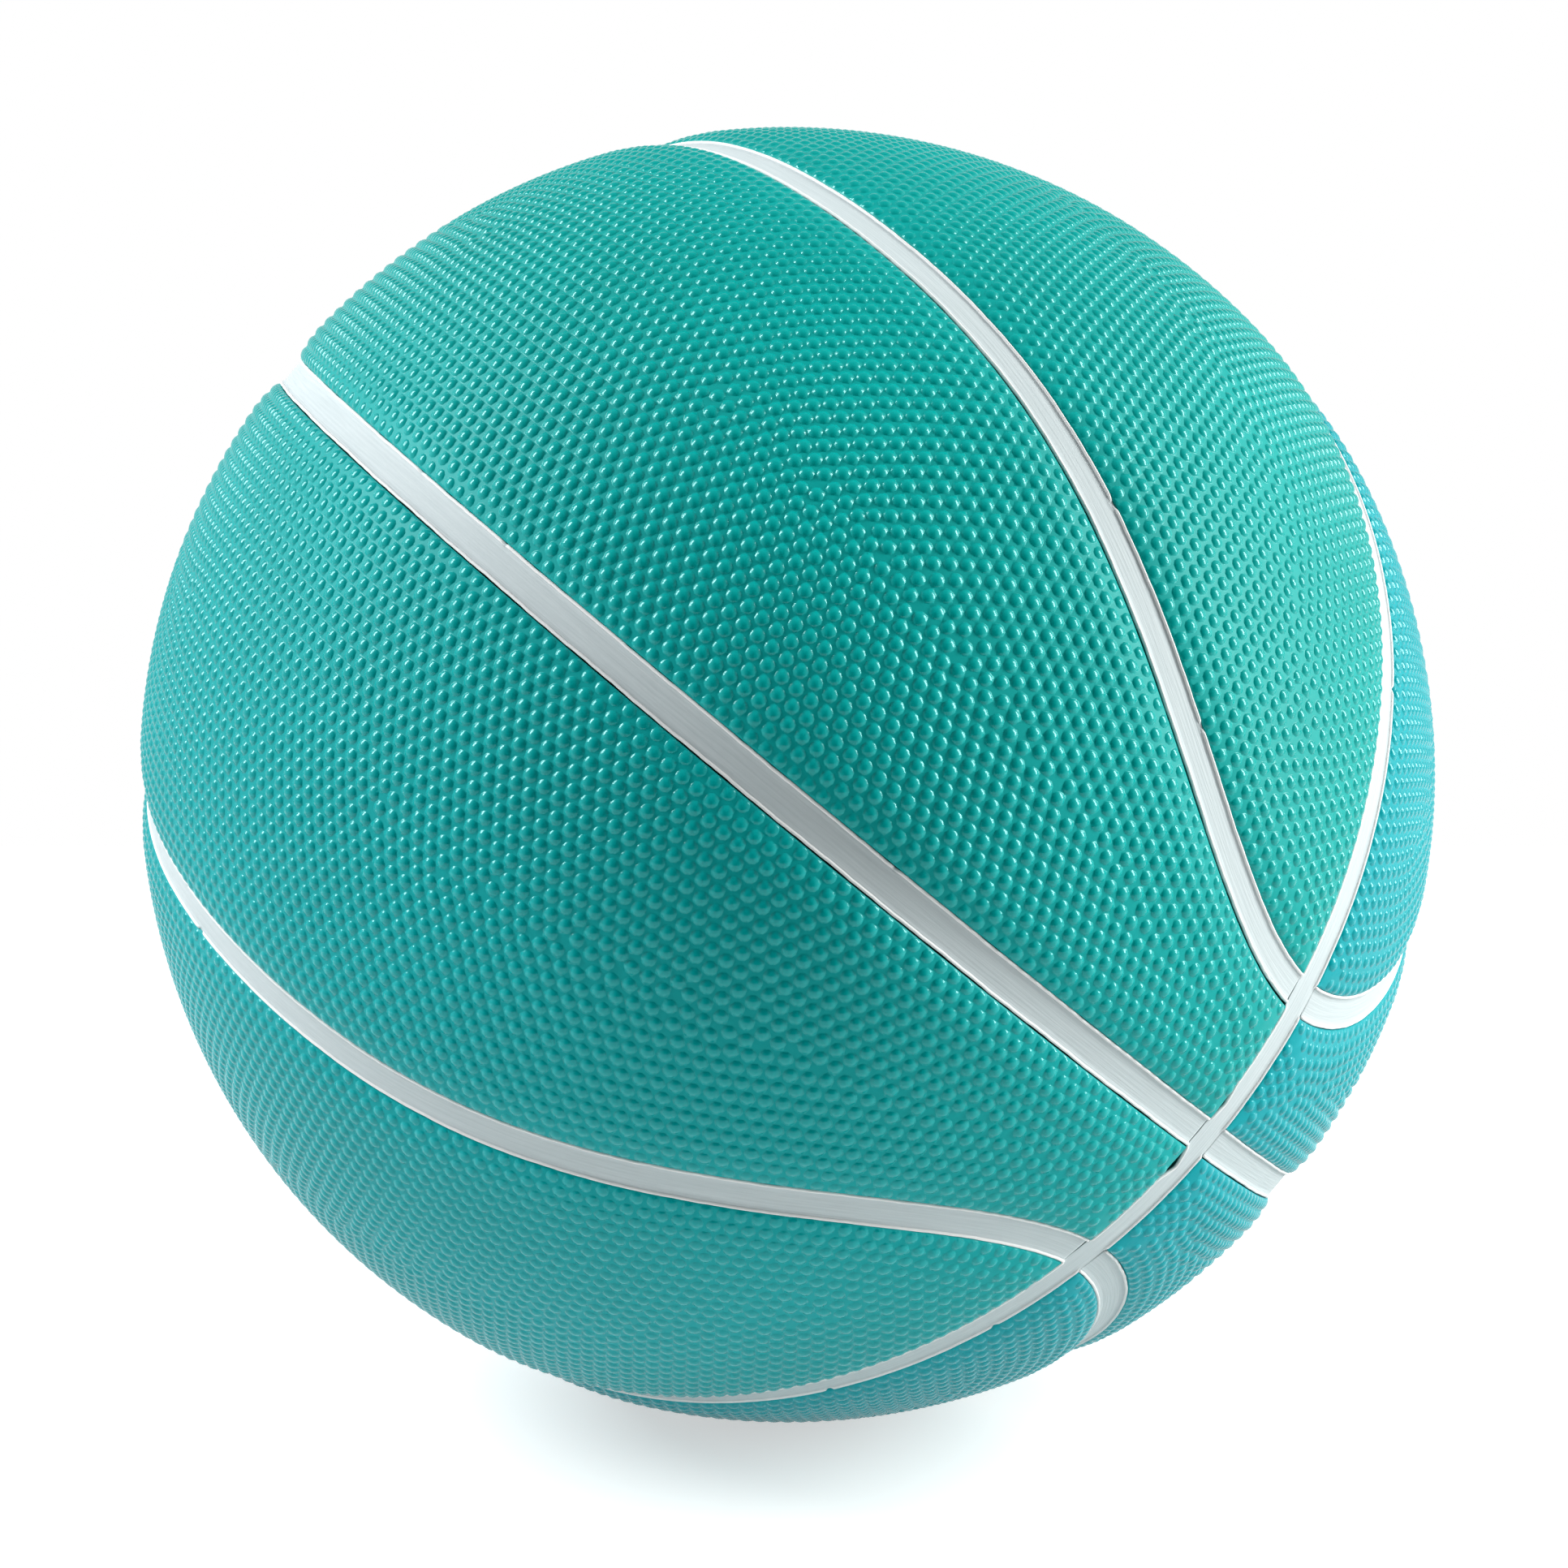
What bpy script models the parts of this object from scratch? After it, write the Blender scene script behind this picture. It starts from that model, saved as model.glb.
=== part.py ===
"""Mini basketball: eight rubber cover panels and seven inlaid channel strips on a wound, valved bladder.

Lengths are in metres. The origin is the ball's centre, and +Z is up as the ball lies at rest.
The seams are laid out in a frame of their own, which REST_TURN turns to that rest position: X runs through
the two points where the equator crosses the meridian, Y through the poles of the equator, and Z through
the middles of the two loops. Longitude turns about Z from +X to +Y, and latitude rises towards +Z.
"""

from math import asin, cos, pi, radians, sin, sqrt

import bmesh
import bpy
from mathutils import Euler, Vector

# Cover: panels and the channels between them
BALL_RADIUS = 0.0905
SHOULDER_WIDTH = 0.0050
SHOULDER_DROP = 0.0009
CHANNEL_WIDTH = 0.0046
CHANNEL_DEPTH = 0.0005
STRIP_BASE = 0.0006
STRIP_LIP_WIDTH = 0.0006
STRIP_LIP_SETBACK = 0.0001

# Walls of the layers under the cover
CARCASS_WALL = 0.0005
WINDING_WALL = 0.0004
BLADDER_WALL = 0.0005

# Valve, turned about its own axis
VALVE_NECK_RADIUS = 0.0040
VALVE_FACE_SINK = 0.0006
VALVE_FLANGE_RADIUS = 0.0160
VALVE_FLANGE_WALL = 0.0014
VALVE_FLANGE_EDGE = 0.0005
VALVE_STEM_RADIUS = 0.0048
VALVE_STEM_TIP_RADIUS = 0.0036
VALVE_STEM_LENGTH = 0.0120
PLUG_HEAD_RADIUS = 0.0027
PLUG_HEAD_HEIGHT = 0.0016
PLUG_SHAFT_RADIUS = 0.0020
PLUG_TIP_SETBACK = 0.0010
NEEDLE_HOLE_RADIUS = 0.0008

# Gap between pieces that touch, and how far a cutter runs past what it cuts
CLEARANCE = 0.0003
CUT_MARGIN = 0.0040

# Seam layout in degrees: a loop's latitude is a sum of cosines of 0, 2, 4 and 6 times the longitude
LOOP_TERMS = (30.65, -13.68, -3.31, -0.39)
VALVE_LONGITUDE = -90.0
VALVE_LATITUDE = -20.0
REST_TURN = (148.0, 24.8, -51.4)

# Facets: cells along a seam and across each kind of panel, and steps and rings of the turned pieces
SEAM_CELLS = 28
MIDDLE_PANEL_CELLS = 6
SIDE_PANEL_CELLS = 6
EQUATOR_STEPS = 56
TURN_STEPS = 26
HALF_SHELL_RINGS = 6
SHARP_ANGLE = 35.0

# Numerical settings: distance under which points merge, step of a slope in radians, and halvings of a search
MERGE_DISTANCE = 1e-6
SLOPE_STEP = 1e-4
SEARCH_HALVINGS = 50

# Radii that follow from the sizes above, from the outside in. A shoulder falls as a parabola, so half way
# across it has lost a quarter of its drop.
SHOULDER_RADIUS = BALL_RADIUS - SHOULDER_DROP / 4
RIM_RADIUS = BALL_RADIUS - SHOULDER_DROP
FLOOR_RADIUS = RIM_RADIUS - CHANNEL_DEPTH
SEAT_RADIUS = FLOOR_RADIUS - STRIP_BASE
LIP_RADIUS = RIM_RADIUS - STRIP_LIP_SETBACK

# Half widths of a channel as angles at the centre: to a panel's rim, to the strip's side and to its floor
RIM_ANGLE = CHANNEL_WIDTH / 2 / RIM_RADIUS
STRIP_ANGLE = RIM_ANGLE - CLEARANCE / SEAT_RADIUS
FLOOR_ANGLE = STRIP_ANGLE - STRIP_LIP_WIDTH / RIM_RADIUS
SHOULDER_ANGLE = SHOULDER_WIDTH / RIM_RADIUS

COLOURS = {
    "panel_rubber": ((0.004, 0.330, 0.285, 1.0), 0.35),
    "channel_rubber": ((0.80, 0.83, 0.86, 1.0), 0.45),
    "carcass_rubber": ((0.030, 0.030, 0.032, 1.0), 0.80),
    "winding_thread": ((0.720, 0.700, 0.640, 1.0), 0.75),
    "bladder_rubber": ((0.018, 0.018, 0.020, 1.0), 0.55),
    "valve_rubber": ((0.022, 0.022, 0.024, 1.0), 0.50),
}


def clear_scene():
    for obj in list(bpy.data.objects):
        bpy.data.objects.remove(obj, do_unlink=True)


def new_collection(name):
    collection = bpy.data.collections.new(name)
    bpy.context.scene.collection.children.link(collection)
    return collection


def new_material(name):
    colour, roughness = COLOURS[name]
    material = bpy.data.materials.new(name)
    material.use_nodes = True
    shader = material.node_tree.nodes["Principled BSDF"]
    shader.inputs["Base Color"].default_value = colour
    shader.inputs["Roughness"].default_value = roughness
    shader.inputs["Metallic"].default_value = 0.0
    material.diffuse_color = colour
    return material


def spaced(start, end, steps):
    return [start + (end - start) * k / steps for k in range(steps + 1)]


def on_sphere(longitude, latitude):
    return Vector((cos(latitude) * cos(longitude), cos(latitude) * sin(longitude), sin(latitude)))


def loop_latitude(longitude):
    return radians(sum(term * cos(2 * k * longitude) for k, term in enumerate(LOOP_TERMS)))


def beside_loop(longitude, offset):
    """Direction of a point beside the upper loop, by an angle counted away from the meridian."""
    before = on_sphere(longitude - SLOPE_STEP, loop_latitude(longitude - SLOPE_STEP))
    after = on_sphere(longitude + SLOPE_STEP, loop_latitude(longitude + SLOPE_STEP))
    centre = on_sphere(longitude, loop_latitude(longitude))
    aside = centre.cross(after - before).normalized()
    return centre * cos(offset) + aside * sin(offset)


def beside_meridian(longitude, offset):
    return on_sphere(longitude, offset)


def beside_equator(turn, offset):
    """Direction of a point beside the equator, turned from +Z towards +X."""
    return Vector((cos(offset) * sin(turn), sin(offset), cos(offset) * cos(turn)))


def seam_stations(beside, offset, end_angle):
    """Directions along half a seam between equator crossings, stopping short of them by an angle."""
    low, high = 0.0, pi / 2
    for _ in range(SEARCH_HALVINGS):
        middle = (low + high) / 2
        if beside(middle, offset).y < sin(end_angle):
            low = middle
        else:
            high = middle
    return [beside(longitude, offset) for longitude in spaced(low, pi - low, SEAM_CELLS)]


def middle_panel_patch(inset):
    """Directions over the panel between the meridian and a loop, as rows across and stations along."""
    inner = seam_stations(beside_meridian, inset, inset)
    outer = seam_stations(beside_loop, -inset, inset)
    rows = spaced(0.0, 1.0, MIDDLE_PANEL_CELLS)
    return [[a.lerp(b, t).normalized() for a, b in zip(inner, outer)] for t in rows]


def side_panel_patch(inset):
    """Directions over half a loop's inside: a blend of four sides, three of them stretches of the loop."""
    loop = seam_stations(beside_loop, inset, inset)
    high = SIDE_PANEL_CELLS
    wide = SEAM_CELLS - 2 * high
    right = loop[: high + 1]
    top = loop[high : high + wide + 1]
    left = loop[: -high - 2 : -1]
    reach = asin(right[0].x / cos(inset))
    base = [beside_equator(turn, inset) for turn in spaced(reach, -reach, wide)]
    patch = []
    for j, t in enumerate(spaced(0.0, 1.0, high)):
        row = []
        for i, s in enumerate(spaced(0.0, 1.0, wide)):
            sides = base[i].lerp(top[i], t) + right[j].lerp(left[j], s)
            corners = base[0].lerp(top[0], t).lerp(base[-1].lerp(top[-1], t), s)
            row.append((sides - corners).normalized())
        patch.append(row)
    return patch


def largest_cell(patch):
    """Greatest angle across a cell of a patch."""
    return max(
        patch[j][i].angle(patch[j + 1][i + 1])
        for j in range(len(patch) - 1)
        for i in range(len(patch[0]) - 1)
    )


def grid_on(bm, patch, radius):
    """A grid of faces with a vertex for each entry of a patch, at a radius and labelled with its place."""
    rows, columns = len(patch) - 1, len(patch[0]) - 1
    label = bm.verts.layers.int.verify()
    for vert in bmesh.ops.create_grid(bm, x_segments=columns, y_segments=rows, size=1.0)["verts"]:
        column = round((vert.co.x + 1) / 2 * columns)
        row = round((vert.co.y + 1) / 2 * rows)
        vert[label] = row * (columns + 1) + column
        vert.co = patch[row][column] * radius


def face_out(bm):
    bmesh.ops.recalc_face_normals(bm, faces=bm.faces[:])
    if bm.calc_volume(signed=True) < 0:
        bmesh.ops.reverse_faces(bm, faces=bm.faces[:])


def add_object(name, bm, material, collection, parent):
    face_out(bm)
    mesh = bpy.data.meshes.new(name)
    bm.to_mesh(mesh)
    bm.free()
    mesh.shade_smooth()
    mesh.set_sharp_from_angle(angle=radians(SHARP_ANGLE))
    mesh.materials.append(material)
    obj = bpy.data.objects.new(name, mesh)
    obj.parent = parent
    collection.objects.link(obj)
    return obj


def mirrored(patch, pole_side, loop_side):
    return [[Vector((p.x, p.y * pole_side, p.z * loop_side)) for p in row] for row in patch]


def panel_mesh(crown, shoulder, rim):
    """A cover panel from three outlines of one patch, then its wall down to the seat and its underside."""
    bm = bmesh.new()
    grid_on(bm, crown, BALL_RADIUS)
    label = bm.verts.layers.int.active
    edges = [edge for edge in bm.edges if edge.is_boundary]
    for outline, radius in ((shoulder, SHOULDER_RADIUS), (rim, RIM_RADIUS), (rim, SEAT_RADIUS)):
        places = [place for row in outline for place in row]
        grown = bmesh.ops.extrude_edge_only(bm, edges=edges)["geom"]
        for vert in (item for item in grown if isinstance(item, bmesh.types.BMVert)):
            vert.co = places[vert[label]] * radius
        edges = [item for item in grown if isinstance(item, bmesh.types.BMEdge) and item.is_boundary]
    grid_on(bm, rim, SEAT_RADIUS)
    bmesh.ops.remove_doubles(bm, verts=bm.verts[:], dist=MERGE_DISTANCE)
    return bm


def strip_lines(beside):
    """The corner lines of a channel strip along half a seam: a flat floor between two sloping lips."""
    end = STRIP_ANGLE + 2 * CLEARANCE / SEAT_RADIUS
    section = (
        (-STRIP_ANGLE, SEAT_RADIUS),
        (STRIP_ANGLE, SEAT_RADIUS),
        (STRIP_ANGLE, LIP_RADIUS),
        (FLOOR_ANGLE, FLOOR_RADIUS),
        (-FLOOR_ANGLE, FLOOR_RADIUS),
        (-STRIP_ANGLE, LIP_RADIUS),
    )
    return [[p * radius for p in seam_stations(beside, offset, end)] for offset, radius in section]


def strip_mesh(lines):
    """A strip lofted round its section, with its two ends filled."""
    bm = bmesh.new()
    grid_on(bm, lines + lines[:1], 1.0)
    bmesh.ops.remove_doubles(bm, verts=bm.verts[:], dist=MERGE_DISTANCE)
    bmesh.ops.holes_fill(bm, edges=[edge for edge in bm.edges if edge.is_boundary], sides=len(lines))
    return bm


def turned(name, profile, material, collection, parent, axis, steps=TURN_STEPS):
    """A profile of radius and height turned about an axis. It closes unless it ends on the axis."""
    bm = bmesh.new()
    verts = [bm.verts.new((radius, 0.0, height)) for radius, height in profile]
    for first, second in zip(verts, verts[1:]):
        bm.edges.new((first, second))
    if profile[0][0] > 0:
        bm.edges.new((verts[-1], verts[0]))
    obj = add_object(name, bm, material, collection, parent)
    obj.rotation_euler = axis.to_track_quat("Z", "Y").to_euler()
    screw = obj.modifiers.new("turn", "SCREW")
    screw.axis = "Z"
    screw.steps = steps
    screw.render_steps = steps
    screw.use_merge_vertices = True
    screw.merge_threshold = MERGE_DISTANCE
    screw.use_smooth_shade = True
    return obj


def arc(radius, angles):
    """Points at one distance from the centre, by their angle from the axis. Half a turn ends on the axis."""
    return [(radius * sin(a) if a < pi else 0.0, radius * cos(a)) for a in angles]


def valve_half_angles(radius):
    """From the mouth round the valve's neck, over the flange's edge, to the widest ring."""
    mouth = asin((VALVE_NECK_RADIUS + CLEARANCE) / radius)
    edge = asin(VALVE_FLANGE_RADIUS / BALL_RADIUS)
    return [mouth] + spaced(edge, pi / 2, HALF_SHELL_RINGS)


def far_half_angles():
    return spaced(pi / 2, pi, HALF_SHELL_RINGS)


def whole_shell(outer, wall):
    """A shell with one mouth: up its inside from the far end, over the mouth and down its outside."""
    inner = outer - wall
    inside = arc(inner, valve_half_angles(inner)[:-1] + far_half_angles())
    outside = arc(outer, valve_half_angles(outer)[:-1] + far_half_angles())
    return inside[::-1] + outside


def valve_half_shell(outer, wall):
    """The half of a shell that has the mouth, trimmed short of the widest ring by half a clearance."""
    inner = outer - wall
    trim = CLEARANCE / 2
    outside = arc(outer, valve_half_angles(outer)[:-1]) + [(ring_radius(outer, trim), trim)]
    inside = arc(inner, valve_half_angles(inner)[:-1]) + [(ring_radius(inner, trim), trim)]
    return outside + inside[::-1]


def far_half_shell(outer, wall):
    inner = outer - wall
    trim = CLEARANCE / 2
    outside = [(ring_radius(outer, trim), -trim)] + arc(outer, far_half_angles()[1:])
    inside = [(ring_radius(inner, trim), -trim)] + arc(inner, far_half_angles()[1:])
    return inside[::-1] + outside


def ring_radius(radius, height):
    return sqrt(radius * radius - height * height)


def valve_heights(flange_radius):
    """Heights on the valve's axis: its face, the step under the plug's head, and the stem's tip."""
    face = BALL_RADIUS - VALVE_FACE_SINK
    step = face - PLUG_HEAD_HEIGHT - CLEARANCE
    tip = flange_radius - VALVE_FLANGE_WALL - VALVE_STEM_LENGTH
    return face, step, tip


def housing_profile(flange_radius):
    """Neck, bonding flange and stem, with a stepped bore for the plug."""
    face, step, tip = valve_heights(flange_radius)
    mouth = asin((VALVE_NECK_RADIUS + CLEARANCE) / flange_radius)
    edge = asin(VALVE_FLANGE_RADIUS / BALL_RADIUS)
    collar = flange_radius * cos(mouth)
    flange_reach, flange_top = arc(flange_radius, [edge])[0]
    head_bore = PLUG_HEAD_RADIUS + CLEARANCE
    shaft_bore = PLUG_SHAFT_RADIUS + CLEARANCE
    return [
        (VALVE_NECK_RADIUS, face),
        (VALVE_NECK_RADIUS, collar),
        (flange_reach, flange_top),
        (flange_reach, flange_top - VALVE_FLANGE_EDGE),
        (VALVE_STEM_RADIUS, collar - VALVE_FLANGE_WALL),
        (VALVE_STEM_TIP_RADIUS, tip),
        (shaft_bore, tip),
        (shaft_bore, step),
        (head_bore, step),
        (head_bore, face),
    ]


def plug_profile(flange_radius):
    """Headed plug with a hole down its middle for the pump's needle."""
    face, step, tip = valve_heights(flange_radius)
    return [
        (PLUG_HEAD_RADIUS, face),
        (PLUG_HEAD_RADIUS, step + CLEARANCE),
        (PLUG_SHAFT_RADIUS, step + CLEARANCE),
        (PLUG_SHAFT_RADIUS, tip + PLUG_TIP_SETBACK),
        (NEEDLE_HOLE_RADIUS, tip + PLUG_TIP_SETBACK),
        (NEEDLE_HOLE_RADIUS, face),
    ]


def equator_profile():
    """Section of the equator strip: outer side from top to bottom, then the seat back to the top."""
    section = (
        (STRIP_ANGLE, LIP_RADIUS),
        (FLOOR_ANGLE, FLOOR_RADIUS),
        (-FLOOR_ANGLE, FLOOR_RADIUS),
        (-STRIP_ANGLE, LIP_RADIUS),
        (-STRIP_ANGLE, SEAT_RADIUS),
        (STRIP_ANGLE, SEAT_RADIUS),
    )
    return [(radius * cos(angle), radius * sin(angle)) for angle, radius in section]


def cut_valve_hole(panel, axis, cutters, parent):
    depth = BALL_RADIUS - SEAT_RADIUS + 2 * CUT_MARGIN
    bm = bmesh.new()
    bmesh.ops.create_cone(
        bm,
        cap_ends=True,
        segments=TURN_STEPS,
        radius1=VALVE_NECK_RADIUS + CLEARANCE,
        radius2=VALVE_NECK_RADIUS + CLEARANCE,
        depth=depth,
    )
    cutter = add_object("valve_hole_cutter", bm, panel.data.materials[0], cutters, parent)
    cutter.location = axis * (BALL_RADIUS + SEAT_RADIUS) / 2
    cutter.rotation_euler = axis.to_track_quat("Z", "Y").to_euler()
    cutter.hide_render = True
    cutter.display_type = "WIRE"
    cut = panel.modifiers.new("valve_hole", "BOOLEAN")
    cut.operation = "DIFFERENCE"
    cut.solver = "EXACT"
    cut.object = cutter


def build():
    clear_scene()
    parts = new_collection("mini_basketball")
    cutters = new_collection("cutters")
    materials = {name: new_material(name) for name in COLOURS}
    ball = bpy.data.objects.new("ball_attitude", None)
    ball.rotation_euler = Euler([radians(turn) for turn in REST_TURN])
    parts.objects.link(ball)

    insets = (RIM_ANGLE + SHOULDER_ANGLE, RIM_ANGLE + SHOULDER_ANGLE / 2, RIM_ANGLE)
    middle_patches = [middle_panel_patch(inset) for inset in insets]
    side_patches = [side_panel_patch(inset) for inset in insets]
    loop_lines = strip_lines(beside_loop)
    meridian_lines = strip_lines(beside_meridian)
    panels = {}
    for half, pole_side in (("front", 1), ("rear", -1)):
        for place, loop_side in (("lower", 1), ("upper", -1)):
            for kind, patches in (("middle", middle_patches), ("side", side_patches)):
                name = f"{kind}_panel_{half}_{place}"
                bm = panel_mesh(*(mirrored(patch, pole_side, loop_side) for patch in patches))
                panels[name] = add_object(name, bm, materials["panel_rubber"], parts, ball)
            bm = strip_mesh(mirrored(loop_lines, pole_side, loop_side))
            add_object(f"loop_channel_{half}_{place}", bm, materials["channel_rubber"], parts, ball)
        bm = strip_mesh(mirrored(meridian_lines, pole_side, 1))
        add_object(f"meridian_channel_{half}", bm, materials["channel_rubber"], parts, ball)
    pole = Vector((0.0, 1.0, 0.0))
    turned(
        "equator_channel",
        equator_profile(),
        materials["channel_rubber"],
        parts,
        ball,
        pole,
        EQUATOR_STEPS,
    )

    # A flat cell sinks under the seat in its middle, so the carcass keeps clear of the largest one.
    cell = max(largest_cell(middle_patches[-1]), largest_cell(side_patches[-1]))
    carcass = SEAT_RADIUS * cos(cell / 2) - CLEARANCE
    winding = carcass - CARCASS_WALL - CLEARANCE
    bladder = winding - WINDING_WALL - CLEARANCE
    flange = bladder - BLADDER_WALL - CLEARANCE

    valve_axis = on_sphere(radians(VALVE_LONGITUDE), radians(VALVE_LATITUDE))
    for name, profile, material in (
        ("carcass_valve_half", valve_half_shell(carcass, CARCASS_WALL), "carcass_rubber"),
        ("carcass_far_half", far_half_shell(carcass, CARCASS_WALL), "carcass_rubber"),
        ("thread_winding", whole_shell(winding, WINDING_WALL), "winding_thread"),
        ("bladder", whole_shell(bladder, BLADDER_WALL), "bladder_rubber"),
        ("valve_housing", housing_profile(flange), "valve_rubber"),
        ("valve_plug", plug_profile(flange), "valve_rubber"),
    ):
        turned(name, profile, materials[material], parts, ball, valve_axis)
    cut_valve_hole(panels["middle_panel_rear_upper"], valve_axis, cutters, ball)


build()
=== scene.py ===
"""Looks of the mini basketball: pebbled rubber panels, painted channels and the valve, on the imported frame.

Lengths are in metres. The origin is the ball's centre, and +Z is up as the ball lies at rest. The seams are
laid out in a frame of their own, which REST_TURN turns to that rest position: X runs through the two points
where the equator crosses the meridian, Y through the poles of the equator, and Z through the middles of the
two loops. Longitude turns about Z from +X to +Y, and latitude rises towards +Z. One middle panel and one
side panel are built on the side where Y and Z are positive, and the others are their mirror images.
"""

from math import asin, cos, pi, radians, sin

import bpy
import numpy as np
from mathutils import Euler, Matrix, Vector
from mathutils.geometry import delaunay_2d_cdt
from mathutils.kdtree import KDTree


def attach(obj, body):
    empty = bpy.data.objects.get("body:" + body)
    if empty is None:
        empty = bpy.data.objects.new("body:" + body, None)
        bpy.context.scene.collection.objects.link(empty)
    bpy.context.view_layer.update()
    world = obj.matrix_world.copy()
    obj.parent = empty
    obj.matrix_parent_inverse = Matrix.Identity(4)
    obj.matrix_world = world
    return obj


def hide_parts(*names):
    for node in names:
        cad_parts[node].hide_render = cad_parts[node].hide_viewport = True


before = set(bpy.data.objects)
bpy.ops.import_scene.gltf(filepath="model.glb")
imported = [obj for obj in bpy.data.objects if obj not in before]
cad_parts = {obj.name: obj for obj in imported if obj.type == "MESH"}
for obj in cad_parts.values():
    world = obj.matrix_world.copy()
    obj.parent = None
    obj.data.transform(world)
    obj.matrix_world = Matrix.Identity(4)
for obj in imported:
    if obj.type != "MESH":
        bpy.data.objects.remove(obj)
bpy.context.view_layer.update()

MM = 0.001

# Cover: the same sizes as the solids under it
BALL_RADIUS = 90.5 * MM
SHOULDER_WIDTH = 5.0 * MM
SHOULDER_DROP = 0.9 * MM
CHANNEL_WIDTH = 4.6 * MM
CHANNEL_DEPTH = 0.5 * MM
STRIP_BASE = 0.6 * MM
CLEARANCE = 0.3 * MM
RIM_RADIUS = BALL_RADIUS - SHOULDER_DROP
FLOOR_RADIUS = RIM_RADIUS - CHANNEL_DEPTH
SEAT_RADIUS = FLOOR_RADIUS - STRIP_BASE
RIM_ANGLE = CHANNEL_WIDTH / 2 / RIM_RADIUS

# Seam layout in degrees: a loop's latitude is a sum of cosines of 0, 2, 4 and 6 times the longitude
LOOP_TERMS = (30.65, -13.68, -3.31, -0.39)
VALVE_LONGITUDE = 90.0
VALVE_LATITUDE = 20.0
REST_TURN = (148.0, 24.8, -51.4)

# How finely the seams are followed: angles in radians, a length, counts and limits
SLOPE_STEP = 1e-4
LOOP_OVERRUN = 0.1
TILT_STEP = 0.02 * MM
SEARCH_HALVINGS = 50
LINE_SAMPLES = 1500
LOOP_TREE_SAMPLES = 4 * LINE_SAMPLES
NEAR_AXIS = 0.9
TINY = 1e-9

# Pebbles: round caps in rows beside each seam, lower and smaller in the rows next to a rim
PEBBLE_PITCH = 2.06 * MM
PEBBLE_ROW = 1.78 * MM
PEBBLE_FIRST_ROW = 0.85 * MM
PEBBLE_RADIUS = 0.88 * MM
PEBBLE_FOOT_SLOPE = 40.0
PEBBLE_FADE = 2.4 * MM
PEBBLE_LEAST_SIZE = 0.92
PEBBLE_LEAST_SLOPE = 0.88
PEBBLE_EQUATOR_GAIN = 1.6 * MM
PEBBLE_LEAST_GAP = 1.60 * MM
PEBBLE_GAP_SHARE = 0.455
PEBBLE_ROW_SLACK = 0.02 * MM
PEBBLE_RINGS = ((0.55, 6), (0.94, 10), (1.09, 10))
PEBBLE_HEIGHT = PEBBLE_RADIUS * np.tan(radians(PEBBLE_FOOT_SLOPE) / 2)
RELAX_ROUNDS = 60
RELAX_PUSH = 0.22
RELAX_REACH = 1.10
RELAX_HELD_ROWS = 1.5

# Rim of a panel: a small round over its edge, and lines of points that follow it
RIM_ROUND = 0.25 * MM
RIM_ROUND_DROP = 0.12 * MM
RIM_STEP = 0.7 * MM
RIM_LINES = (0.12 * MM, 0.26 * MM)
UNDERSIDE_STEP = 6.0 * MM
UNDERSIDE_MARGIN = 2.0 * MM

# Strip in a channel: two round lips, a ledge inside each and a flat floor. It sits off centre, so that the
# gap shows on one side. Depths are under the rim.
STRIP_STEP = 0.4 * MM
LOOP_OPEN_GAP = 0.34 * MM
LOOP_GAP = 0.08 * MM
MERIDIAN_OPEN_GAP = 0.16 * MM
EQUATOR_OPEN_GAP = 0.14 * MM
STRIP_SHUT_GAP = 0.03 * MM
STRIP_END_GAP = 0.07 * MM
LIP_TOP = 0.02 * MM
LIP_WIDTH = 0.42 * MM
LIP_SIDE_DEPTH = 0.30 * MM
LIP_STEPS = 8
LIP_SHARE_GAIN = 3.0
LIP_WAVES = ((17.0 * MM, 0.030 * MM), (5.3 * MM, 0.020 * MM), (2.1 * MM, 0.012 * MM))
LEDGE_WIDTH = 0.16 * MM
LEDGE_DEPTH = 0.28 * MM
FLOOR_SINK = 0.34 * MM
FLOOR_STEPS = 6
NICK_SPACING = 80.0 * MM
NICK_WIDTH = 0.35 * MM
NICK_REACH = 0.09 * MM
NICK_STRENGTH = 2.0
NICK_HEIGHT_SHARES = (0.3, 1.0)
NICK_WIDTH_SHARES = (0.5, 1.5)
OPEN_LOOP_SEED = 11
LOOP_SEED = 17
MERIDIAN_SEED = 23
EQUATOR_SEED = 37

# Places where the equator strip has drawn back from the panel: distance from the meridian, length and width
DRAWN_BACK = ((-5.0 * MM, 3.0 * MM, 1.10 * MM), (4.6 * MM, 2.6 * MM, 0.55 * MM))

# Valve, turned about its own axis: the neck's face and the plug's head are a little sunk
VALVE_NECK_RADIUS = 4.0 * MM
VALVE_HOLE_RADIUS = VALVE_NECK_RADIUS + CLEARANCE
VALVE_MARGIN = 1.3 * MM
VALVE_STEPS = 72
VALVE_EDGE_ROUND = 0.35 * MM
VALVE_EDGE_POINTS = 5
VALVE_SHARP_ANGLE = 40.0
VALVE_FLANGE_RADIUS = 16.0 * MM
VALVE_FLANGE_WALL = 1.4 * MM
VALVE_FLANGE_EDGE = 0.5 * MM
VALVE_STEM_RADIUS = 4.8 * MM
VALVE_STEM_TIP_RADIUS = 3.6 * MM
VALVE_STEM_LENGTH = 12.0 * MM
PLUG_HEAD_RADIUS = 2.7 * MM
PLUG_HEAD_HEIGHT = 1.6 * MM
PLUG_SHAFT_RADIUS = 2.0 * MM
PLUG_DIMPLE_RADIUS = 1.5 * MM
PLUG_DIMPLE_DEPTH = 0.5 * MM
NEEDLE_HOLE_RADIUS = 0.8 * MM

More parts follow.
